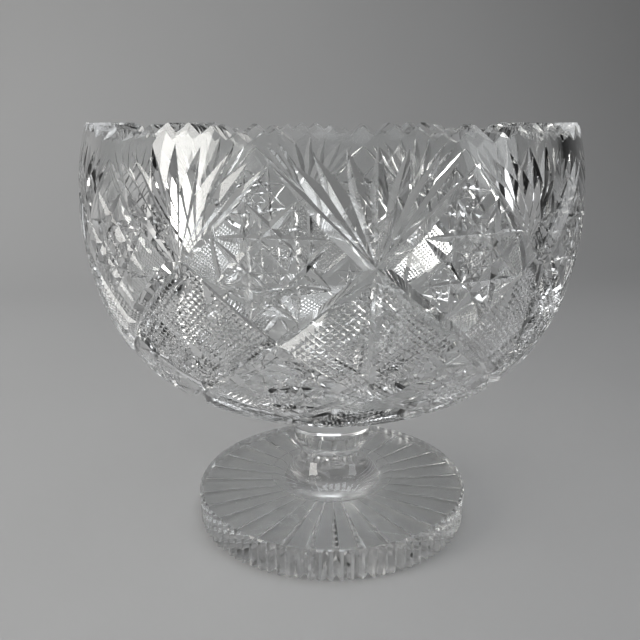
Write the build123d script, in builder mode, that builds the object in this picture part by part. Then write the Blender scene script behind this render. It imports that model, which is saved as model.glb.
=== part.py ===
"""A cut-crystal trifle bowl on a stem and foot: four gathers of glass, joined hot and cut cold.

The frame is +Z up with the origin at the middle of the foot's underside. The pattern repeats
round the bowl, and the middle of one repeat, a fan, faces -Y. Lengths are in millimetres, angles
in degrees. A place on the bowl's wall is given by its angle from -Y and by its length along the
wall, counted down from the widest level, as a cutter marks it on the blank with a tape.
"""

import os
from math import acos, asin, cos, degrees, radians, sin, tan

from build123d import *

# Foot
foot_radius = 60.7
foot_edge_height = 13.4
foot_rise = 2.1
foot_edge_bevel = 0.8
ray_count = 30
ray_inner_radius = 12.0
ray_depth = 1.7
ray_vee = 100.0
notches_per_ray = 3
notch_depth = 1.3
notch_vee = 100.0

# Stem and collar
stem_waist_radius = 13.6
stem_flare_radius = 14.4
stem_flare_lip = 0.6
stem_neck_height = 2.4
collar_radius = 17.0
collar_height = 19.5
collar_edge_bevel = 1.6

# Bowl, as arcs that run into each other from the rim down to the collar
bowl_radius = 100.0
upper_wall_radius = 105.0
upper_wall_height = 31.4
belly_radius = 124.0
belly_turn = 16.0
shoulder_radius = 66.5
shoulder_turn = 60.6
base_radius = 116.0
wall = 7.0

# Cut pattern on the bowl
repeats = 10
lattice_levels = [-20.4, 9.7, 36.2, 60.4, 79.7, 95.9]
lattice_spans = 3
lattice_overrun = 3.0
mitre_depth = 2.3
mitre_vee = 100.0
split_depth = 1.9
fan_tips = [(0.0, -25.8), (5.3, -25.0), (10.75, -23.0), (14.2, -20.7)]
fan_root_depth = 1.2
fan_vee = 112.0
star_points = 8
star_vee = 100.0
upper_star_level = 8.2
upper_star_radius = 19.4
upper_hob_radius = 7.4
lower_star_level = 58.0
lower_star_radius = 15.0
lower_hob_radius = 5.7
hatched_fields = 1
hatch_lines = 4
hatch_depth = 1.1
hatch_vee = 100.0
rim_notches = [(0.0, 2.85), (5.07, 3.2), (10.1, 4.8), (14.1, 5.55)]
rim_vee = 104.8

# How far a cutting wheel's V stands out of the glass
wheel_height = 8.0

# Heights where the pieces meet
foot_top = foot_edge_height + foot_rise
stem_top = foot_top + stem_flare_lip + stem_flare_radius + stem_neck_height
bowl_base = stem_top + collar_height

# Lower wall arcs: radius and the turn from the vertical at which each one ends
shoulder_start = (
    bowl_radius - belly_radius + (belly_radius - shoulder_radius) * cos(radians(belly_turn)),
    (shoulder_radius - belly_radius) * sin(radians(belly_turn)),
)
base_start = (
    shoulder_start[0] + (shoulder_radius - base_radius) * cos(radians(shoulder_turn)),
    shoulder_start[1] + (base_radius - shoulder_radius) * sin(radians(shoulder_turn)),
)
base_turn = degrees(acos((collar_radius - base_start[0]) / base_radius))
widest_level = bowl_base - base_start[1] + base_radius * sin(radians(base_turn))
rim_level = widest_level + upper_wall_height
repeat_angle = 360 / repeats


def wall_at(along):
    """Radius, height and downward tilt of the outer wall, a length along it below the widest level."""
    belly_length = belly_radius * radians(belly_turn)
    shoulder_length = shoulder_radius * radians(shoulder_turn - belly_turn)
    if along < 0:
        middle, radius = (bowl_radius - upper_wall_radius, 0), upper_wall_radius
        tilt = along / upper_wall_radius
    elif along < belly_length:
        middle, radius = (bowl_radius - belly_radius, 0), belly_radius
        tilt = along / belly_radius
    elif along < belly_length + shoulder_length:
        middle, radius = shoulder_start, shoulder_radius
        tilt = radians(belly_turn) + (along - belly_length) / shoulder_radius
    else:
        middle, radius = base_start, base_radius
        tilt = radians(shoulder_turn) + (along - belly_length - shoulder_length) / base_radius
    return middle[0] + radius * cos(tilt), widest_level + middle[1] - radius * sin(tilt), tilt


def place_on_wall(angle, along):
    """The point of the outer wall at an angle and a length along it, and the wall's outward normal."""
    radius, height, tilt = wall_at(along)
    outward = Vector(sin(radians(angle)), -cos(radians(angle)), 0)
    return outward * radius + Vector(0, 0, height), outward * cos(tilt) - Vector(0, 0, sin(tilt))


def wheel_plane(point, normal, travel):
    """The plane across a cut, with its y axis out of the glass."""
    across = normal.cross(travel).normalized()
    return Plane(origin=point, x_dir=across, z_dir=travel)


def vee_section(plane, depth, vee):
    """A cutting wheel's V, sunk by a depth below the plane's origin."""
    half_width = wheel_height * tan(radians(vee / 2))
    with BuildSketch(plane) as section:
        with BuildLine():
            Polyline(
                (0, -depth),
                (half_width, wheel_height - depth),
                (-half_width, wheel_height - depth),
                close=True,
            )
        make_face()
    return section.sketch


def straight_cut(start, end, normal, vee):
    """A straight pass of the wheel whose V bottom runs from start to end."""
    travel = (end - start).normalized()
    with BuildPart() as cut:
        extrude(vee_section(wheel_plane(start, normal, travel), 0, vee), amount=(end - start).length)
    return cut.part


def wall_cut(stations, vee):
    """A pass that follows the wall through stations of angle, length along the wall and depth."""
    places = [place_on_wall(angle, along) for angle, along, depth in stations]
    with BuildPart() as cut:
        sections = []
        for index, (point, normal) in enumerate(places):
            before = places[max(index - 1, 0)][0]
            after = places[min(index + 1, len(places) - 1)][0]
            chord = after - before
            travel = (chord - normal * chord.dot(normal)).normalized()
            sections.append(vee_section(wheel_plane(point, normal, travel), stations[index][2], vee))
        loft(sections, ruled=True)
    return cut.part


def lattice_cuts():
    """The mitres of the lattice inside half a repeat, each from one crossing down to the next.

    They run on past the planes of symmetry, so that the V is whole where it crosses them, apart
    from the top one, which starts at a point beside the fan.
    """
    step = repeat_angle / 2
    overrun = lattice_overrun / step
    inner_shares = [span / lattice_spans for span in range(lattice_spans + 1)]
    cuts = []
    for index, (top, bottom) in enumerate(zip(lattice_levels, lattice_levels[1:])):
        shares = [*inner_shares, 1 + overrun]
        if index > 0:
            shares.insert(0, -overrun)
        stations = []
        for share in shares:
            angle = step * share if index % 2 else step * (1 - share)
            depth = 0 if index == 0 and share == 0 else mitre_depth
            stations.append((angle, top + share * (bottom - top), depth))
        cuts.append(wall_cut(stations, mitre_vee))
    return cuts


def fan_cuts():
    """The leaf-shaped rays of one fan, from the lattice crossing at its root up towards the rim."""
    root, root_normal = place_on_wall(0, lattice_levels[1])
    start = root - root_normal * fan_root_depth
    cuts = []
    for angle, along in fan_tips:
        for side in (-1, 1) if angle else (1,):
            tip, tip_normal = place_on_wall(side * angle, along)
            cuts.append(straight_cut(start, tip, root_normal + tip_normal, fan_vee))
    return cuts


def split_cut():
    """The upright mitre that splits the field below a fan, between two lattice crossings."""
    top, bottom = lattice_levels[1], lattice_levels[3]
    spans = 2 * lattice_spans
    stations = [(0, top + (bottom - top) * span / spans, split_depth) for span in range(spans + 1)]
    return wall_cut(stations, mitre_vee)


def lattice_place(right, left):
    """The wall at a number of lattice steps down to the right and to the left of a fan's root."""
    steps = 1 + right + left
    above = min(int(steps), len(lattice_levels) - 2)
    top, bottom = lattice_levels[above], lattice_levels[above + 1]
    return place_on_wall((right - left) * repeat_angle / 2, top + (steps - above) * (bottom - top))


def hatch_cut(first, middle, last):
    """A straight pass across a field, through two places on its sides, deepest under its middle."""
    start, end = lattice_place(*first)[0], lattice_place(*last)[0]
    point, normal = lattice_place(*middle)
    lift = normal * ((point - (start + end) * 0.5).dot(normal) - hatch_depth)
    return straight_cut(start + lift, end + lift, normal, hatch_vee)


def hatch_cuts():
    """The cross-hatch of the diamond fields below a fan, in passes along both of their sides."""
    cuts = []
    for field in range(hatched_fields):
        stops = [field, field + 0.5, field + 1]
        for line in range(1, hatch_lines + 1):
            across = field + line / (hatch_lines + 1)
            cuts.append(hatch_cut(*[(stop, across) for stop in stops]))
            cuts.append(hatch_cut(*[(across, stop) for stop in stops]))
    return cuts


def star_cuts(star_level, star_radius, hob_radius):
    """The straight passes of one hobstar, tangent to its hob and lying in one plane under the wall."""
    middle, normal = place_on_wall(repeat_angle / 2, star_level)
    rim_drop = star_radius**2 / (2 * bowl_radius)
    hub = middle - normal * rim_drop
    level = Vector(0, 0, 1).cross(normal).normalized()
    upright = normal.cross(level)
    half_length = (star_radius**2 - hob_radius**2) ** 0.5
    cuts = []
    for index in range(star_points):
        turn = radians(360 / star_points * index)
        line_middle = hub + (level * cos(turn) + upright * sin(turn)) * hob_radius
        half_line = (upright * cos(turn) - level * sin(turn)) * half_length
        cuts.append(straight_cut(line_middle - half_line, line_middle + half_line, normal, star_vee))
    return cuts


def rim_cuts():
    """The V notches of half a repeat of the rim, cut straight out through the wall."""
    last_angle, last_depth = rim_notches[-1]
    cuts = []
    for angle, depth in [*rim_notches, (repeat_angle - last_angle, last_depth)]:
        outward = Vector(sin(radians(angle)), -cos(radians(angle)), 0)
        bottom = Vector(0, 0, rim_level - depth)
        start = bottom + outward * (bowl_radius - wall - wheel_height)
        end = bottom + outward * (bowl_radius + wheel_height)
        cuts.append(straight_cut(start, end, Vector(0, 0, 1), rim_vee))
    return cuts


def bowl_side(inset):
    """The arcs of the bowl's wall, from the rim down, set in from the outside by a thickness."""
    widest = (bowl_radius - inset, widest_level)
    upper_turn = degrees(asin(upper_wall_height / (upper_wall_radius - inset)))
    upper = JernArc(widest, (0, 1), upper_wall_radius - inset, upper_turn)
    belly = JernArc(widest, (0, -1), belly_radius - inset, -belly_turn)
    shoulder = JernArc(belly @ 1, belly % 1, shoulder_radius - inset, belly_turn - shoulder_turn)
    base = JernArc(shoulder @ 1, shoulder % 1, base_radius - inset, shoulder_turn - base_turn)
    return upper @ 1, base @ 1


pattern = [
    *lattice_cuts(),
    split_cut(),
    *hatch_cuts(),
    *fan_cuts(),
    *star_cuts(upper_star_level, upper_star_radius, upper_hob_radius),
    *star_cuts(lower_star_level, lower_star_radius, lower_hob_radius),
    *rim_cuts(),
]

with BuildPart() as half_repeat:
    with BuildSketch(Plane(origin=(0, 0, 0), x_dir=(0, -1, 0), z_dir=(-1, 0, 0))):
        with BuildLine():
            outer_rim, outer_base = bowl_side(0)
            inner_rim, inner_base = bowl_side(wall)
            Line(outer_rim, inner_rim)
            Polyline(outer_base, (0, outer_base.Y), (0, inner_base.Y), inner_base)
        make_face()
    revolve(axis=Axis.Z, revolution_arc=repeat_angle / 2)
    add(pattern, mode=Mode.SUBTRACT)

with BuildPart() as repeat:
    add(half_repeat.part)
    mirror(about=Plane.YZ)

with BuildPart() as bowl:
    with PolarLocations(0, repeats):
        add(repeat.part)
bowl.part.label = "bowl"

with BuildPart() as collar:
    with BuildSketch(Plane.XZ):
        with BuildLine():
            Polyline(
                (0, stem_top),
                (collar_radius - collar_edge_bevel, stem_top),
                (collar_radius, stem_top + collar_edge_bevel),
                (collar_radius, bowl_base),
                (0, bowl_base),
                close=True,
            )
        make_face()
    revolve(axis=Axis.Z)
collar.part.label = "collar"

flare_radius = stem_waist_radius + stem_flare_radius

with BuildPart() as stem:
    with BuildSketch(Plane.XZ):
        with BuildLine():
            flare_start = (flare_radius, foot_top + stem_flare_lip)
            flare = JernArc(flare_start, (-1, 0), stem_flare_radius, -90)
            Polyline(
                flare @ 1,
                (stem_waist_radius, stem_top),
                (0, stem_top),
                (0, foot_top),
                (flare_radius, foot_top),
                flare @ 0,
            )
        make_face()
    revolve(axis=Axis.Z)
stem.part.label = "stem"

ray_angle = 360 / ray_count
ray = straight_cut(
    Vector(0, -ray_inner_radius, 0),
    Vector(0, -foot_radius - foot_edge_bevel, ray_depth),
    Vector(0, 0, -1),
    ray_vee,
)
notch = straight_cut(
    Vector(0, notch_depth - foot_radius, -foot_edge_bevel),
    Vector(0, notch_depth - foot_radius, foot_top),
    Vector(0, -1, 0),
    notch_vee,
)

with BuildPart() as foot:
    with BuildSketch(Plane.XZ):
        with BuildLine():
            Polyline(
                (0, 0),
                (foot_radius, 0),
                (foot_radius, foot_edge_height - foot_edge_bevel),
                (foot_radius - foot_edge_bevel, foot_edge_height),
                (flare_radius, foot_top),
                (0, foot_top),
                close=True,
            )
        make_face()
    revolve(axis=Axis.Z)
    with PolarLocations(0, ray_count, start_angle=ray_angle / 2):
        add(ray, mode=Mode.SUBTRACT)
    with PolarLocations(0, ray_count * notches_per_ray, start_angle=ray_angle / 2):
        add(notch, mode=Mode.SUBTRACT)
foot.part.label = "foot"

os.makedirs("parts", exist_ok=True)
for piece in (bowl, collar, stem, foot):
    export_step(piece.part, f"parts/{piece.part.label}.step")
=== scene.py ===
# %% [markdown]
# # A cut-crystal trifle bowl
# The object is a heavy bowl of clear lead crystal on a collar, a stem and a round foot. Four
# gathers of glass were joined hot, and the pattern was then ground into the cold glass with
# cutting wheels and polished. This lesson follows that order: turn the blanks, cut them with
# V-shaped wheels, then give the glass its finish and light it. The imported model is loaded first,
# because every piece has to sit exactly where the solid model says.

# %% Load the frame
from math import acos, asin, ceil, cos, pi, radians, sin, sqrt, tan

import bmesh
import bpy
from mathutils import Euler, Matrix, Vector


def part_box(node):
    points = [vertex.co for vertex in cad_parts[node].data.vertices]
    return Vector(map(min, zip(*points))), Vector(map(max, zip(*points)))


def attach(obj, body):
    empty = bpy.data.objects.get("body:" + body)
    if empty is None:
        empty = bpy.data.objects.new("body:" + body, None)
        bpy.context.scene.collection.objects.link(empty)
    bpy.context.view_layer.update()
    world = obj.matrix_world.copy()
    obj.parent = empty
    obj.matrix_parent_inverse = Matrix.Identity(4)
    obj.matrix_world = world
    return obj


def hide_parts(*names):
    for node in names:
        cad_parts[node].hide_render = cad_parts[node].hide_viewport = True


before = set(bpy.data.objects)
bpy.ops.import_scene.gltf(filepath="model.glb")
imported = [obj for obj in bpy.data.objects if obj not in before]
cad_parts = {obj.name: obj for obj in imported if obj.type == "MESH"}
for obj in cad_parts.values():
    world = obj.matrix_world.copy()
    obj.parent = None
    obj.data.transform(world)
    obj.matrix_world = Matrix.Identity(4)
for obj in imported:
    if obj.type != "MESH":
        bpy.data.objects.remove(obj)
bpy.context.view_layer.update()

MM = 0.001

# %% [markdown]
# ## Camera
# The photograph was taken from just above the rim, so the rim is nearly edge-on and the foot is
# seen from above. A camera could be placed by eye, but the rim, the widest level and the foot give
# enough ellipses to solve for its height, distance and pitch, so those three sizes are written
# here. One fan of the pattern stands a few degrees to the right of the middle, so the camera goes
# round the bowl by that angle and the model keeps its own front.

# %% Camera
CAMERA_REACH = 298.5 * MM
CAMERA_HEIGHT = 172.3 * MM
CAMERA_PITCH = radians(15.65)
CAMERA_ROUND = radians(7.7)
PHOTO_SIZE = 640
FOCAL_PIXELS = 706.7
AXIS_PIXEL = 332.0

camera_data = bpy.data.cameras.new("camera")
camera_data.lens = camera_data.sensor_width * FOCAL_PIXELS / PHOTO_SIZE
camera_data.shift_x = (PHOTO_SIZE / 2 - AXIS_PIXEL) / PHOTO_SIZE
camera = bpy.data.objects.new("camera", camera_data)
camera.location = (-CAMERA_REACH * sin(CAMERA_ROUND), -CAMERA_REACH * cos(CAMERA_ROUND), CAMERA_HEIGHT)
camera.rotation_euler = Euler((pi / 2 - CAMERA_PITCH, 0, -CAMERA_ROUND))
bpy.context.scene.collection.objects.link(camera)
bpy.context.scene.camera = camera
print("camera lens", round(camera_data.lens, 1), "mm")

# %% [markdown]
# ## The bowl's wall
# The wall is a chain of arcs that run into each other: an upper wall that draws in to the rim, a
# belly, a tighter shoulder and a flat base. A spline through measured points would also do, but
# arcs give the exact normal at any place, and every cut needs that normal. A place on the wall is
# given by its angle from -Y and its length along the wall, counted down from the widest level, as
# a cutter marks a blank with a tape.

# %% The wall's arcs
bowl_low, bowl_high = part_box("bowl")
collar_low, collar_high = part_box("collar")
BOWL_RADIUS = 100.0 * MM
UPPER_RADIUS = 105.0 * MM
BELLY_RADIUS, BELLY_TURN = 124.0 * MM, radians(16)
SHOULDER_RADIUS, SHOULDER_TURN = 66.5 * MM, radians(60.6)
BASE_RADIUS = 116.0 * MM
WALL = 7.0 * MM

collar_radius = collar_high[0]
bowl_base = bowl_low[2]
rim_level = bowl_high[2]


def arc_start(previous, previous_radius, radius, turn):
    """Centre of an arc that carries on from the one before it at a turn from the vertical."""
    step = previous_radius - radius
    return previous[0] + step * cos(turn), previous[1] - step * sin(turn)


belly_middle = (BOWL_RADIUS - BELLY_RADIUS, 0.0)
shoulder_middle = arc_start(belly_middle, BELLY_RADIUS, SHOULDER_RADIUS, BELLY_TURN)
base_middle = arc_start(shoulder_middle, SHOULDER_RADIUS, BASE_RADIUS, SHOULDER_TURN)
base_turn = acos((collar_radius - base_middle[0]) / BASE_RADIUS)
widest_level = bowl_base - base_middle[1] + BASE_RADIUS * sin(base_turn)

belly_end = BELLY_RADIUS * BELLY_TURN
shoulder_end = belly_end + SHOULDER_RADIUS * (SHOULDER_TURN - BELLY_TURN)
base_end = shoulder_end + BASE_RADIUS * (base_turn - SHOULDER_TURN)


def wall_at(along):
    """Radius, height and downward tilt of the outer wall, a length along it below the widest level."""
    if along < 0:
        middle, radius, tilt = (BOWL_RADIUS - UPPER_RADIUS, 0.0), UPPER_RADIUS, along / UPPER_RADIUS
    elif along < belly_end:
        middle, radius, tilt = belly_middle, BELLY_RADIUS, along / BELLY_RADIUS
    elif along < shoulder_end:
        middle, radius = shoulder_middle, SHOULDER_RADIUS
        tilt = BELLY_TURN + (along - belly_end) / SHOULDER_RADIUS
    else:
        middle, radius = base_middle, BASE_RADIUS
        tilt = SHOULDER_TURN + (along - shoulder_end) / BASE_RADIUS
    return middle[0] + radius * cos(tilt), widest_level + middle[1] - radius * sin(tilt), tilt


def place_on_wall(angle, along):
    """A point of the outer wall, and the wall's outward normal there."""
    radius, height, tilt = wall_at(along)
    outward = Vector((sin(angle), -cos(angle), 0))
    up = Vector((0, 0, 1))
    return outward * radius + up * height, outward * cos(tilt) - up * sin(tilt)


rim_along = -UPPER_RADIUS * asin((rim_level - widest_level) / UPPER_RADIUS)
print("wall runs", round((base_end - rim_along) / MM, 1), "mm from rim to collar")

# %% [markdown]
# ## Turned blanks
# Each gather was turned round one axis, so its blank is a meridian swept round Z. A Screw modifier
# could sweep it. Rings of vertices written out one by one keep the poles as single points and the
# shell closed, which the cuts need later. A meridian starts on the axis underneath, runs out and up
# the outside, and ends on the axis on top or inside the bowl, so that faces point outwards.

# %% Turn a meridian
ON_AXIS = 1e-7


def turned_mesh(name, meridian, segments):
    """A closed mesh from a meridian of radius and height, whose first and last points are on the axis."""
    points, faces, rings = [], [], []
    for radius, height in meridian:
        count = segments if radius > ON_AXIS else 1
        rings.append((len(points), count))
        for index in range(count):
            angle = 2 * pi * index / segments
            points.append((radius * sin(angle), -radius * cos(angle), height))
    for (start, count), (after, after_count) in zip(rings, rings[1:]):
        for index in range(segments):
            beside = (index + 1) % segments
            corners = [start + index % count, start + beside % count]
            corners += [after + beside % after_count, after + index % after_count]
            faces.append(list(dict.fromkeys(corners)))
    mesh = bpy.data.meshes.new(name)
    mesh.from_pydata(points, [], faces)
    print(name, "blank has", len(faces), "faces")
    return mesh


def arc_points(middle, radius, first, last, step):
    """Points of an arc of the meridian, by turn below the horizontal, without the last one."""
    count = max(2, ceil(abs(last - first) * radius / step))
    turns = [first + (last - first) * index / count for index in range(count)]
    return [(middle[0] + radius * cos(turn), middle[1] - radius * sin(turn)) for turn in turns]


# %% [markdown]
# The bowl's own meridian follows the wall's arcs up the outside, and the same arcs set in by the
# thickness of the wall down the inside. The outside gets finer steps, because the cuts show there.

# %% Blank of the bowl
OUTSIDE_STEP = 2.6 * MM
INSIDE_STEP = 4.0 * MM
BLANK_SEGMENTS = 200


def bowl_side(inset, step):
    """The wall from the middle of the base up to the rim, set in by a thickness."""
    upper = UPPER_RADIUS - inset
    top_turn = -asin((rim_level - widest_level) / upper)
    arcs = [
        (base_middle, BASE_RADIUS - inset, base_turn, SHOULDER_TURN),
        (shoulder_middle, SHOULDER_RADIUS - inset, SHOULDER_TURN, BELLY_TURN),
        (belly_middle, BELLY_RADIUS - inset, BELLY_TURN, 0),
        ((BOWL_RADIUS - UPPER_RADIUS, 0.0), upper, 0, top_turn),
    ]
    points = []
    for middle, radius, first, last in arcs:
        lifted = (middle[0], middle[1] + widest_level)
        points += arc_points(lifted, radius, first, last, step)
    points.append((BOWL_RADIUS - UPPER_RADIUS + upper * cos(top_turn), rim_level))
    return [(0.0, points[0][1]), *points]


outside = bowl_side(0, OUTSIDE_STEP)
inside = bowl_side(WALL, INSIDE_STEP)
bowl_blank = turned_mesh("bowl", outside + inside[::-1], BLANK_SEGMENTS)

# %% [markdown]
# ## A pass of the cutting wheel
# A mitre wheel has a V edge, so a pass of it takes a V-shaped bar out of the glass. The bar is a
# triangle carried from station to station: its point is sunk into the glass and its open side
# stands clear of it. On a curved wall a straight bar gives the leaf shape of real cuts, deep in the
# middle and pointed at both ends, and a long mitre needs stations close enough to follow the wall.

# %% Wheel bars
def wheel_bar(stations, vee, lift):
    """Points and faces of one pass, through stations of point, normal and depth of the V."""
    points, faces = [], []
    spread = tan(vee / 2)
    for index, (point, normal, depth) in enumerate(stations):
        before = stations[max(index - 1, 0)][0]
        after = stations[min(index + 1, len(stations) - 1)][0]
        across = normal.cross(after - before).normalized()
        half_width = (depth + lift) * spread
        points.append(point - normal * depth)
        points.append(point + normal * lift + across * half_width)
        points.append(point + normal * lift - across * half_width)
    for index in range(len(stations) - 1):
        ring = 3 * index
        for corner in range(3):
            beside = (corner + 1) % 3
            faces.append((ring + corner, ring + beside, ring + 3 + beside, ring + 3 + corner))
    last = len(points) - 3
    return points, [*faces, (0, 2, 1), (last, last + 1, last + 2)]


def straight_pass(start, end, normal, vee, lift):
    """A straight bar whose V bottom runs from start to end."""
    square = (normal - (end - start) * normal.dot(end - start) / (end - start).length_squared).normalized()
    return wheel_bar([(start, square, 0.0), (end, square, 0.0)], vee, lift)


def bars_object(name, bars):
    """One object that holds every bar of a set, as separate closed shells."""
    points, faces = [], []
    for bar_points, bar_faces in bars:
        start = len(points)
        points += bar_points
        faces += [[start + corner for corner in face] for face in bar_faces]
    mesh = bpy.data.meshes.new(name)
    mesh.from_pydata(points, [], faces)
    holder = bpy.data.objects.new(name, mesh)
    bpy.context.scene.collection.objects.link(holder)
    print(name, "has", len(bars), "passes in one repeat")
    return holder


# %% [markdown]
# ## The lattice of mitres
# Long mitres run down to the left and to the right from a point beside each fan, and cross at
# every half repeat. In lattice steps, a place is a number of steps along one mitre and a number
# across to the next, so the same two numbers also carry the fine cross-hatch inside a diamond.

# %% Lattice
REPEATS = 10
STEP = pi / REPEATS
LEVELS = [level * MM for level in (-20.4, 9.7, 36.2, 60.4, 79.7, 95.9)]
MITRE_DEPTH = 2.3 * MM
MITRE_VEE = radians(100)
MITRE_SPANS = 5
MITRE_RUN_IN = 1.6
SPLIT_DEPTH = 1.9 * MM
LIFT = 1.5 * MM


def level_at(steps):
    """Length along the wall at a number of lattice steps below the top of the mitres."""
    index = min(int(steps), len(LEVELS) - 2)
    return LEVELS[index] + (steps - index) * (LEVELS[index + 1] - LEVELS[index])


def lattice_station(right, left, depth):
    """A station after so many steps down to the right and to the left of the fan's root."""
    point, normal = place_on_wall((right - left) * STEP, level_at(1 + right + left))
    return point, normal, depth


def mitre(side):
    """One long mitre, from its point beside the fan down through every crossing."""
    stations = []
    for index in range((len(LEVELS) - 1) * MITRE_SPANS + 1):
        steps = index / MITRE_SPANS
        point, normal = place_on_wall(side * (steps - 1) * STEP, level_at(steps))
        stations.append((point, normal, MITRE_DEPTH * min(1.0, MITRE_RUN_IN * steps)))
    return wheel_bar(stations, MITRE_VEE, LIFT)


def split_mitre():
    """The upright mitre that splits the field below a fan."""
    spans = 3 * MITRE_SPANS
    stations = []
    for index in range(spans + 1):
        half_steps = index / spans
        stations.append(lattice_station(half_steps, half_steps, SPLIT_DEPTH))
    return wheel_bar(stations, MITRE_VEE, LIFT)


lattice_bars = [mitre(1), mitre(-1), split_mitre()]
print("the lattice has", len(lattice_bars), "mitres in one repeat")

# %% [markdown]
# ## Fans and rim
# Above each crossing a fan of rays spreads towards the rim, and the rim is notched in step with
# it. A ray is one straight pass from the fan's root to its tip, so its leaf shape comes by itself.
# The notches are straight passes out through the wall. A ray is listed by its degrees from the
# fan's middle and the length along the wall to its tip, and a notch by its degrees and its depth.

# %% Fans and rim notches
FAN_TIPS = [(0.0, -25.8), (5.3, -25.0), (10.75, -23.0), (14.2, -20.7)]
FAN_ROOT_DEPTH = 1.2 * MM
FAN_VEE = radians(112)
RIM_NOTCHES = [(0.0, 2.85), (5.07, 3.2), (10.1, 4.8), (14.1, 5.55)]
RIM_VEE = radians(104.8)


def both_sides(pairs):
    """The pairs of angle and length, with those off the middle mirrored."""
    return pairs + [(-angle, length) for angle, length in pairs if angle]


def fan_ray(angle, along):
    """One ray of a fan, from its root at the crossing to its tip."""
    root, root_normal = place_on_wall(0, LEVELS[1])
    tip, tip_normal = place_on_wall(radians(angle), along * MM)
    start = root - root_normal * FAN_ROOT_DEPTH
    return straight_pass(start, tip, root_normal + tip_normal, FAN_VEE, 3 * LIFT)


def rim_notch(angle, depth):
    """One notch of the rim."""
    outward = Vector((sin(radians(angle)), -cos(radians(angle)), 0))
    bottom = Vector((0, 0, rim_level - depth * MM))
    start, end = bottom + outward * (BOWL_RADIUS - 3 * WALL), bottom + outward * (BOWL_RADIUS + WALL)
    return straight_pass(start, end, Vector((0, 0, 1)), RIM_VEE, depth * MM + LIFT)


fan_bars = [fan_ray(angle, along) for angle, along in both_sides(FAN_TIPS)]
rim_bars = [rim_notch(angle, depth) for angle, depth in both_sides(RIM_NOTCHES)]
print("a fan has", len(fan_bars), "rays and its rim", len(rim_bars), "notches")

# %% [markdown]
# ## Hobstars
# In each diamond of the lattice sits a hobstar: eight straight passes, tangent to a button of
# glass called the hob, cross into an eight-pointed star. They lie in one plane under the wall, so
# every pass runs out exactly at the star's points. The hob carries a finer star of its own.

# %% Hobstars
STAR_POINTS = 8
STAR_VEE = radians(100)
HOB_SHARE = 0.381
HOB_STAR_DEPTH, HOB_STAR_REACH, HOB_STAR_HEART = 0.45 * MM, 0.93, 0.345
STARS = [(8.2 * MM, 19.4 * MM), (58.0 * MM, 15.0 * MM)]


def star(along, radius, hob_radius, drop):
    """The passes of one star, whose lines run at a distance from its middle."""
    middle, normal = place_on_wall(STEP, along)
    level = Vector((0, 0, 1)).cross(normal).normalized()
    upright = normal.cross(level)
    half_length = sqrt(radius**2 - hob_radius**2)
    bars = []
    for index in range(STAR_POINTS):
        turn = 2 * pi * index / STAR_POINTS
        outward = level * cos(turn) + upright * sin(turn)
        run = (upright * cos(turn) - level * sin(turn)) * half_length
        line_middle = middle - normal * drop + outward * hob_radius
        bars.append(straight_pass(line_middle - run, line_middle + run, normal, STAR_VEE, 2 * LIFT))
    return bars


def hobstar(along, radius):
    """A star and the finer star on its hob, in proportion to its radius."""
    hob = HOB_SHARE * radius
    bars = star(along, radius, hob, radius**2 / (2 * BOWL_RADIUS))
    return bars + star(along, HOB_STAR_REACH * hob, HOB_STAR_HEART * hob, HOB_STAR_DEPTH)


star_bars = [bar for along, radius in STARS for bar in hobstar(along, radius)]
print("the hobstars have", len(star_bars), "passes in one repeat")

# %% [markdown]
# ## Strawberry diamonds
# The diamonds below the fans are covered with a fine cross-hatch, which leaves a field of tiny
# pyramids. It runs along the lattice, so each line is a row of stations at a fixed number of steps
# across. The lower diamonds are smaller, so they get fewer lines of about the same spacing.

# %% Cross-hatch
HATCH_LINES = {0: 20, 1: 14}
HATCH_DEPTH = 0.68 * MM
HATCH_LIFT = 0.1 * MM
HATCH_SPANS = 8
HATCH_MARGIN = 0.03


def hatch_line(across, side, start):
    """One line of the cross-hatch, a share of a step across the diamond that starts at some steps."""
    stations = []
    for index in range(HATCH_SPANS + 1):
        along = HATCH_MARGIN + (1 - 2 * HATCH_MARGIN) * index / HATCH_SPANS
        right, left = (along, across) if side > 0 else (across, along)
        stations.append(lattice_station(start + right, start + left, HATCH_DEPTH))
    return wheel_bar(stations, MITRE_VEE, HATCH_LIFT)


hatch_bars = []
for start, lines in HATCH_LINES.items():
    for index in range(1, lines):
        hatch_bars += [hatch_line(index / lines, side, start) for side in (1, -1)]
print("the cross-hatch has", len(hatch_bars), "lines in one repeat")

# %% [markdown]
# ## Flutes under the bowl
# Where the lattice ends, plain flutes run on down to the collar. They are the same V passes, made
# shallower as the bowl narrows, so that a rib of glass is left between each two of them.

# %% Flutes
FLUTE_STARTS = {0: 93.0 * MM, 1: 83.0 * MM}
FLUTE_DEPTHS = (1.5 * MM, 0.8 * MM)
FLUTE_VEE = radians(125)
FLUTE_SPANS = 8
FLUTE_MARGIN = 1.5 * MM


def flute(steps, start):
    """One flute, at a number of half repeats from the fan, from a length along the wall to the collar."""
    stations = []
    for index in range(FLUTE_SPANS + 1):
        share = index / FLUTE_SPANS
        point, normal = place_on_wall(steps * STEP, start + share * (base_end - FLUTE_MARGIN - start))
        depth = FLUTE_DEPTHS[0] + share * (FLUTE_DEPTHS[1] - FLUTE_DEPTHS[0])
        stations.append((point, normal, depth))
    return wheel_bar(stations, FLUTE_VEE, LIFT)


flute_bars = [flute(steps, start) for steps, start in FLUTE_STARTS.items()]
print(REPEATS * len(flute_bars), "flutes run down to the collar")

# %% [markdown]
# ## Node trees written as sums
# The cutting below and the finish of the glass are both trees of nodes. One helper writes them all:
# it makes a node from its type, its settings and what its sockets get. What comes out of a node
# can stand in a sum, and every sum adds its own Math node, so a formula reads like a formula.

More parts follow.
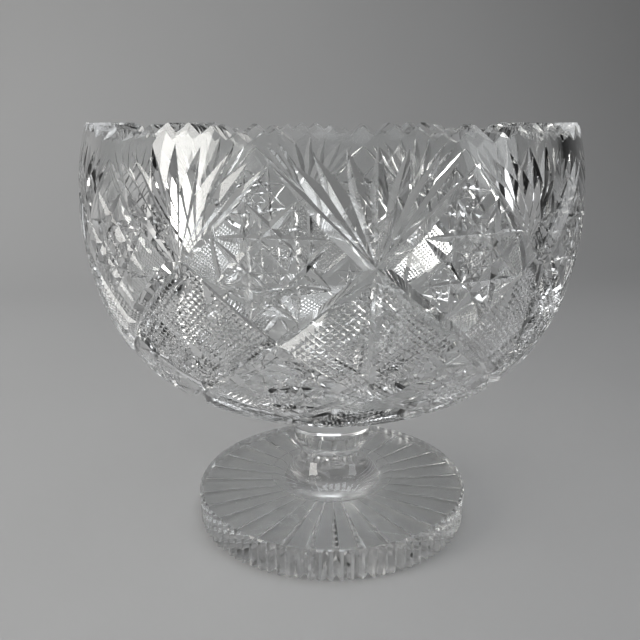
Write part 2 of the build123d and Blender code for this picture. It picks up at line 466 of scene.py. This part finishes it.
# %% Graph and wire
class Graph:
    """A node tree, and the one way to add a node to it."""

    def __init__(self, tree):
        self.tree = tree

    def add(self, kind, settings=None, sockets=None):
        """Makes a node, sets it up, feeds its sockets, and gives its outputs by name."""
        node = self.tree.nodes.new(kind)
        for name, value in (settings or {}).items():
            if name == "stops":
                for element, (place, colour) in zip(node.color_ramp.elements, value):
                    element.position, element.color = place, colour
            else:
                setattr(node, name, value)
        for name, value in (sockets or {}).items():
            if isinstance(value, Wire):
                self.tree.links.new(value.socket, node.inputs[name])
            else:
                node.inputs[name].default_value = value
        return {output.name: Wire(self, output) for output in node.outputs}


class Wire:
    """An output of a node, which can stand in a sum."""

    def __init__(self, graph, socket):
        self.graph, self.socket = graph, socket

    def maths(self, operation, first, second):
        """A Math node of two values, wires or numbers."""
        return self.graph.add("ShaderNodeMath", {"operation": operation}, {0: first, 1: second})["Value"]

    def __add__(self, other):
        return self.maths("ADD", self, other)

    def __radd__(self, other):
        return self.maths("ADD", other, self)

    def __sub__(self, other):
        return self.maths("SUBTRACT", self, other)

    def __rsub__(self, other):
        return self.maths("SUBTRACT", other, self)

    def __mul__(self, other):
        return self.maths("MULTIPLY", self, other)

    def __rmul__(self, other):
        return self.maths("MULTIPLY", other, self)

    def __truediv__(self, other):
        return self.maths("DIVIDE", self, other)

    def __rtruediv__(self, other):
        return self.maths("DIVIDE", other, self)


# %% [markdown]
# ## Lead crystal
# The glass is colourless and bends light more than window glass does. Its skin isn't perfect: a
# blown and fire-polished wall has slow ripples, a cut facet keeps a faint grain from the wheel and
# the polish, and the ribs that the foot stands on are scuffed. A plain Glass shader would give
# none of that, so noise drives the roughness and a slight bump, and the cutting tree marks the
# facets that a wheel made. Lamps can't find their way through bent glass in a path tracer, so a
# shadow ray passes straight through and loses a share at each face: little in the thin bowl, more in
# the thick foot, under which the floor is darker.

# %% Crystal
CRYSTAL_IOR = 1.545
CLEAR = (0.97, 0.975, 0.975, 1.0)
FAINT = (0.92, 0.93, 0.925, 1.0)
RIPPLE_SCALE, RIPPLE_HEIGHT = 45.0, 0.15 * MM
GRAIN_SCALE = 900.0
NOISE_DETAIL = 2.0
POLISH, POLISH_SPREAD, GRAIN, SCUFF = 0.002, 0.012, 0.08, 0.3
SCUFF_HEIGHT = 0.3 * MM
TINT_STOPS = [(0.3, CLEAR), (0.8, FAINT)]


def noise(graph, place, scale, detail=NOISE_DETAIL):
    """A noise at a place, between 0 and 1."""
    sockets = {"Vector": place, "Scale": scale, "Detail": detail}
    return graph.add("ShaderNodeTexNoise", {}, sockets)["Fac"]


def crystal(name, ripple, passes, scuffed):
    """A crystal finish: the strength of its ripples, the light that a face passes to a shadow, and scuffs."""
    material = bpy.data.materials.new(name)
    material.use_nodes = True
    material.node_tree.nodes.clear()
    glass = Graph(material.node_tree)
    place = glass.add("ShaderNodeTexCoord")["Object"]
    cut = glass.add("ShaderNodeAttribute", {"attribute_name": "cut"})["Fac"]
    waves = noise(glass, place, RIPPLE_SCALE)
    grain = noise(glass, place, GRAIN_SCALE)
    rough = POLISH + POLISH_SPREAD * waves + GRAIN * cut * grain
    if scuffed:
        height = glass.add("ShaderNodeSeparateXYZ", {}, {"Vector": place})["Z"]
        standing = height.maths("LESS_THAN", height, SCUFF_HEIGHT)
        rough = rough + SCUFF * standing * grain
    tint = glass.add("ShaderNodeValToRGB", {"stops": TINT_STOPS}, {"Fac": waves})["Color"]
    skin = glass.add(
        "ShaderNodeBump", {}, {"Height": waves, "Strength": ripple, "Distance": RIPPLE_HEIGHT}
    )["Normal"]
    body = glass.add(
        "ShaderNodeBsdfPrincipled",
        {},
        {
            "Base Color": tint,
            "Roughness": rough,
            "Normal": skin,
            "Transmission Weight": 1.0,
            "IOR": CRYSTAL_IOR,
        },
    )["BSDF"]
    passing = glass.add("ShaderNodeBsdfTransparent", {}, {"Color": (passes, passes, passes, 1.0)})["BSDF"]
    shadow = glass.add("ShaderNodeLightPath")["Is Shadow Ray"]
    surface = glass.add("ShaderNodeMixShader", {}, {0: shadow, 1: body, 2: passing})["Shader"]
    glass.add("ShaderNodeOutputMaterial", {}, {"Surface": surface})
    print(name, "is made of", len(material.node_tree.nodes), "nodes")
    return material


bowl_crystal = crystal("bowl_crystal", ripple=0.25, passes=0.88, scuffed=False)
stem_crystal = crystal("stem_crystal", ripple=0.5, passes=0.6, scuffed=False)
foot_crystal = crystal("foot_crystal", ripple=0.35, passes=0.35, scuffed=True)

# %% [markdown]
# Where two gathers were joined hot, there is no surface any more: the glass runs on from one into
# the other. The pieces are separate meshes whose flat ends touch, so those ends get a finish that
# is fully see-through, and light goes straight on.

# %% Hot-joined seams
seam = bpy.data.materials.new("hot_joined_seam")
seam.use_nodes = True
seam.node_tree.nodes.clear()
seam_graph = Graph(seam.node_tree)
seam_skin = seam_graph.add("ShaderNodeBsdfPrincipled", {}, {"Base Color": CLEAR, "Alpha": 0.0})["BSDF"]
seam_graph.add("ShaderNodeOutputMaterial", {}, {"Surface": seam_skin})
print(seam.name, "lets light straight through")

# %% [markdown]
# ## Cutting with Geometry Nodes
# The pattern repeats round the bowl, so only one repeat of it is written above. A Geometry Nodes
# tree marks its bars as cuts, places copies of them round the axis, splits them into single bars
# and takes them all out of the blank with one Mesh Boolean. A stack of Boolean modifiers would
# need one for every bar, and a single joined cutter fails, because the bars cross each other.

# %% The cutting tree
TREE_INPUTS = {"Blank": "Geometry", "Bars": "Object", "Repeats": "Int", "Glass": "Material"}


def cutting_tree():
    """A node tree that cuts a set of bars out of a blank, repeated round Z."""
    tree = bpy.data.node_groups.new("cut_round_the_axis", "GeometryNodeTree")
    for name, kind in TREE_INPUTS.items():
        tree.interface.new_socket(name, in_out="INPUT", socket_type="NodeSocket" + kind)
    tree.interface.new_socket("Cut", in_out="OUTPUT", socket_type="NodeSocketGeometry")
    graph = Graph(tree)
    given = graph.add("NodeGroupInput")
    bars = graph.add("GeometryNodeObjectInfo", {}, {"Object": given["Bars"]})["Geometry"]
    marked = graph.add(
        "GeometryNodeStoreNamedAttribute",
        {"data_type": "FLOAT", "domain": "FACE"},
        {"Geometry": bars, "Name": "cut", "Value": 1.0},
    )["Geometry"]
    places = graph.add("GeometryNodePoints", {}, {"Count": given["Repeats"]})["Points"]
    turn = graph.add("GeometryNodeInputIndex")["Index"] / given["Repeats"] * (2 * pi)
    spin = graph.add("ShaderNodeCombineXYZ", {}, {"Z": turn})["Vector"]
    copies = graph.add(
        "GeometryNodeInstanceOnPoints", {}, {"Points": places, "Instance": marked, "Rotation": spin}
    )["Instances"]
    real = graph.add("GeometryNodeRealizeInstances", {}, {"Geometry": copies})["Geometry"]
    island = graph.add("GeometryNodeInputMeshIsland")["Island Index"]
    single = graph.add(
        "GeometryNodeSplitToInstances", {"domain": "FACE"}, {"Geometry": real, "Group ID": island}
    )["Instances"]
    cut = graph.add(
        "GeometryNodeMeshBoolean",
        {"operation": "DIFFERENCE", "solver": "MANIFOLD"},
        {"Mesh 1": given["Blank"], "Mesh 2": single},
    )["Mesh"]
    whole = graph.add("GeometryNodeRealizeInstances", {}, {"Geometry": cut})["Geometry"]
    glazed = graph.add("GeometryNodeSetMaterial", {}, {"Geometry": whole, "Material": given["Glass"]})
    graph.add("NodeGroupOutput", {}, {"Cut": glazed["Geometry"]})
    return tree


CUT_ROUND = cutting_tree()
print("the cutting tree has", len(CUT_ROUND.nodes), "nodes")

# %% [markdown]
# A piece is finished in one function: its blank gets one cutting modifier for each set of bars,
# the result is made a plain mesh, and edges sharper than the blank's own facets stay crisp. The
# volume is printed, because a shell that is inside out would show a negative one.

# %% Cut a piece
SHARP_EDGE = radians(18)
LITRE = 0.001


def cut_piece(name, blank, glass, sets):
    """Cuts sets of bars, each with its number of repeats, out of a blank."""
    piece = bpy.data.objects.new(name, blank)
    bpy.context.scene.collection.objects.link(piece)
    sockets = {item.name: item.identifier for item in CUT_ROUND.interface.items_tree}
    for bars, repeats in sets:
        modifier = piece.modifiers.new("cut", "NODES")
        modifier.node_group = CUT_ROUND
        modifier[sockets["Bars"]] = bars
        modifier[sockets["Repeats"]] = repeats
        modifier[sockets["Glass"]] = glass
    evaluated = piece.evaluated_get(bpy.context.evaluated_depsgraph_get())
    piece.data = bpy.data.meshes.new_from_object(evaluated)
    piece.modifiers.clear()
    for bars, _ in sets:
        bpy.data.objects.remove(bars)
    piece.data.shade_smooth()
    piece.data.set_sharp_from_angle(angle=SHARP_EDGE)
    piece.data.materials.clear()
    piece.data.materials.append(glass)
    piece.data.materials.append(seam)
    piece.data.calc_loop_triangles()
    shell = bmesh.new()
    shell.from_mesh(piece.data)
    litres = shell.calc_volume(signed=True) / LITRE
    loose = sum(not edge.is_manifold for edge in shell.edges)
    shell.free()
    print(name, len(piece.data.loop_triangles), "triangles", round(litres, 4), "litres", loose, "loose edges")
    return piece


bowl = cut_piece(
    "crystal_bowl",
    bowl_blank,
    bowl_crystal,
    [
        (bars_object("lattice_passes", lattice_bars + flute_bars), REPEATS),
        (bars_object("fan_passes", fan_bars + rim_bars), REPEATS),
        (bars_object("star_passes", star_bars), REPEATS),
        (bars_object("hatch_passes", hatch_bars), REPEATS),
    ],
)

# %% [markdown]
# ## Collar and stem
# The collar is a short thick disc with a rounded lower edge, and the stem is drawn in to a waist
# and flares out onto the foot. Both are plain turned gathers with a fire-polished skin, so they
# need a fine meridian and no cuts.

# %% Collar and stem
stem_low, stem_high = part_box("stem")
WAIST_RADIUS = 13.6 * MM
COLLAR_EDGE = 1.6 * MM
FLARE_LIP = 0.6 * MM
TURN_SEGMENTS = 128
CURVE_STEP = 0.5 * MM

flare_radius = stem_high[0] - WAIST_RADIUS
edge_middle = (collar_radius - COLLAR_EDGE, collar_low[2] + COLLAR_EDGE)
flare_middle = (stem_high[0], stem_low[2] + FLARE_LIP + flare_radius)

collar_meridian = [
    (0.0, collar_low[2]),
    (WAIST_RADIUS, collar_low[2]),
    *arc_points(edge_middle, COLLAR_EDGE, pi / 2, 0, CURVE_STEP),
    (collar_radius, edge_middle[1]),
    (collar_radius, collar_high[2]),
    (0.0, collar_high[2]),
]
stem_meridian = [
    (0.0, stem_low[2]),
    (stem_high[0], stem_low[2]),
    *arc_points(flare_middle, flare_radius, pi / 2, pi, CURVE_STEP),
    (WAIST_RADIUS, flare_middle[1]),
    (WAIST_RADIUS, stem_high[2]),
    (0.0, stem_high[2]),
]
collar_blank = turned_mesh("collar", collar_meridian, TURN_SEGMENTS)
stem_blank = turned_mesh("stem", stem_meridian, TURN_SEGMENTS)
collar = cut_piece("crystal_collar", collar_blank, stem_crystal, [])
stem = cut_piece("crystal_stem", stem_blank, stem_crystal, [])

# %% [markdown]
# ## Foot
# The foot is a thick disc. A star of rays is cut into its underside and shows through the clear
# top, and its edge is notched all round with upright cuts. Both are passes of the same wheel, so
# the cutting tree repeats one ray and one notch round the foot.

# %% Foot
foot_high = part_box("foot")[1]
FOOT_EDGE = 13.4 * MM
FOOT_BEVEL = 0.8 * MM
FOOT_SEGMENTS = 180
RAYS = 30
RAY_START = 12.0 * MM
RAY_DEPTH = 1.7 * MM
NOTCHES = 90
NOTCH_DEPTH = 1.3 * MM
FOOT_VEE = radians(100)

foot_radius = foot_high[1]
foot_top = foot_high[2]
foot_meridian = [
    (0.0, 0.0),
    (foot_radius, 0.0),
    (foot_radius, FOOT_EDGE - FOOT_BEVEL),
    (foot_radius - FOOT_BEVEL, FOOT_EDGE),
    (stem_high[0], foot_top),
    (0.0, foot_top),
]


def foot_pass(start, end, normal):
    """A pass in the foot between two points of reach and height, half a ray round from -Y."""
    turn = Matrix.Rotation(pi / RAYS, 3, "Z")
    ends = [turn @ Vector((0, -reach, height)) for reach, height in (start, end)]
    return straight_pass(*ends, turn @ normal, FOOT_VEE, 2 * LIFT)


ray = foot_pass((RAY_START, 0.0), (foot_radius + FOOT_BEVEL, RAY_DEPTH), Vector((0, 0, -1)))
notch_reach = foot_radius - NOTCH_DEPTH
notch = foot_pass((notch_reach, -FOOT_BEVEL), (notch_reach, foot_top), Vector((0, -1, 0)))
foot = cut_piece(
    "crystal_foot",
    turned_mesh("foot", foot_meridian, FOOT_SEGMENTS),
    foot_crystal,
    [(bars_object("ray_passes", [ray]), RAYS), (bars_object("notch_passes", [notch]), NOTCHES)],
)

# %% [markdown]
# ## Join the gathers
# Each piece stands for one node of the solid model, which is hidden in its place. The flat ends
# where two gathers touch are found by their height and reach, and get the see-through seam.

# %% Seams and nodes
SEAMS = [(bowl_base, collar_radius), (collar_low[2], WAIST_RADIUS), (foot_top, stem_high[0])]
TOUCH = 0.001 * MM


def join_gather(piece, node):
    """Opens a piece's seams, hangs it under the frame's root and hides the node it stands for."""
    joined = 0
    for face in piece.data.polygons:
        corners = [piece.data.vertices[index].co for index in face.vertices]
        for height, reach in SEAMS:
            flat = all(abs(corner.z - height) < TOUCH for corner in corners)
            if flat and all(corner.xy.length < reach + TOUCH for corner in corners):
                face.material_index = 1
                joined += 1
    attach(piece, "root")
    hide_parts(node)
    print(piece.name, "has", joined, "seam faces")


join_gather(bowl, "bowl")
join_gather(collar, "collar")
join_gather(stem, "stem")
join_gather(foot, "foot")

# %% [markdown]
# ## Stage
# Clear glass shows what is round it, so the stage matters as much as the glass: a sheet of pale
# grey paper that curves up into a backdrop, as on a product table. The sheet lies a hair under
# the foot, because a real foot never touches all over, and the film of air is what makes the rays
# of the star flash. The paper's colour is painted darker to the right: a painted shade for the
# window's light falling off, not the paper's own tone.

# %% Floor and backdrop
AIR_FILM = 0.3 * MM
STAGE_WIDTH = 6.0
STAGE_FRONT, BEND_START, BEND_RADIUS, STAGE_TOP = -2.5, 0.45, 0.5, 3.0
BEND_STEPS = 24
# The second number here paints the paper darker to the right: painted shade, not the paper's own colour.
PAPER_TONE, PAPER_PAINTED_SHADE, PAPER_ROUGHNESS = 0.34, 0.5, 0.8
PAPER_FIBRE, FIBRE_SCALE, FIBRE_DETAIL, FIBRE_MIDDLE = 0.03, 3.0, 4.0, 0.5

bend = [index / BEND_STEPS * pi / 2 for index in range(BEND_STEPS + 1)]
stage_rows = [(STAGE_FRONT, 0.0)]
stage_rows += [(BEND_START + BEND_RADIUS * sin(turn), BEND_RADIUS * (1 - cos(turn))) for turn in bend]
stage_rows.append((BEND_START + BEND_RADIUS, STAGE_TOP))
stage_points, stage_faces = [], []
for depth, height in stage_rows:
    row = len(stage_points)
    stage_points += [(side * STAGE_WIDTH / 2, depth, height - AIR_FILM) for side in (-1, 1)]
    if row:
        stage_faces.append((row - 2, row - 1, row + 1, row))
paper = bpy.data.meshes.new("paper_sweep")
paper.from_pydata(stage_points, [], stage_faces)
paper.shade_smooth()
stage = bpy.data.objects.new("paper_sweep", paper)
bpy.context.scene.collection.objects.link(stage)

paper_finish = bpy.data.materials.new("grey_paper")
paper_finish.use_nodes = True
paper_finish.node_tree.nodes.clear()
sheet = Graph(paper_finish.node_tree)
spot = sheet.add("ShaderNodeTexCoord")["Object"]
side = sheet.add("ShaderNodeSeparateXYZ", {}, {"Vector": spot})["X"]
fibre = noise(sheet, spot, FIBRE_SCALE, FIBRE_DETAIL)
# The paper's colour is painted darker towards +X as painted shade for the window's light falling off; the
# fibre noise is the paper's own grain.
grey = PAPER_TONE * (1.0 - PAPER_PAINTED_SHADE * side) + PAPER_FIBRE * (fibre - FIBRE_MIDDLE)
grey = grey.maths("MAXIMUM", grey, 0.0)
matt = sheet.add("ShaderNodeBsdfPrincipled", {}, {"Base Color": grey, "Roughness": PAPER_ROUGHNESS})["BSDF"]
sheet.add("ShaderNodeOutputMaterial", {}, {"Surface": matt})
paper.materials.append(paper_finish)
print(stage.name, "has", len(stage_faces), "faces")

# %% [markdown]
# ## Light
# Cut glass is made by what it shows of its surroundings: broad soft panels give each facet an even
# tone, and their edges give it sparkle. A window panel stands on the left, where it lights up the
# fan that faces it, a weak panel fills the right, a cooler one hangs overhead, and the room is a
# plain grey that darkens towards the camera. Light crosses many faces before it leaves such a
# bowl, so there are more bounces than usual. Light that is thrown to and fro inside the wall fades
# on its long way through the glass, and a limit on the inner bounces stands for that.

# %% Lamps and room
LAMPS = {
    "window_panel": ((-1.0, -0.3, 0.5), (0.5, 0.8), (1.0, 0.98, 0.94), 8.5),
    "fill_panel": ((1.0, -0.5, 0.6), (0.5, 0.8), (0.96, 0.98, 1.0), 2.2),
    "ceiling_panel": ((0.1, 0.0, 1.3), (0.8, 0.8), (0.95, 0.97, 1.0), 7.0),
}
AIM = Vector((0, 0, 0.1))
ROOM, ROOM_SIDE, ROOM_BACK, ROOM_UP = 0.26, -0.04, 0.1, 0.1
BOUNCES, INNER_BOUNCES = 24, 7

for name, (place, size, colour, watts) in LAMPS.items():
    panel = bpy.data.lights.new(name, "AREA")
    panel.shape = "RECTANGLE"
    panel.size, panel.size_y = size
    panel.color, panel.energy = colour, watts
    lamp = bpy.data.objects.new(name, panel)
    lamp.location = place
    lamp.rotation_euler = (AIM - Vector(place)).to_track_quat("-Z", "Y").to_euler()
    bpy.context.scene.collection.objects.link(lamp)

room = bpy.data.worlds.new("room")
room.use_nodes = True
room.node_tree.nodes.clear()
walls = Graph(room.node_tree)
towards = walls.add("ShaderNodeTexCoord")["Generated"]
towards = walls.add("ShaderNodeSeparateXYZ", {}, {"Vector": towards})
level = ROOM + ROOM_SIDE * towards["X"] + ROOM_BACK * towards["Y"] + ROOM_UP * towards["Z"]
glow = walls.add("ShaderNodeBackground", {}, {"Color": level})["Background"]
walls.add("ShaderNodeOutputWorld", {}, {"Surface": glow})
bpy.context.scene.world = room

bpy.context.scene.view_settings.view_transform = "Standard"
cycles = bpy.context.scene.cycles
cycles.max_bounces = cycles.transmission_bounces = cycles.transparent_max_bounces = BOUNCES
cycles.glossy_bounces = INNER_BOUNCES
print(len(LAMPS), "lamps and", BOUNCES, "bounces")
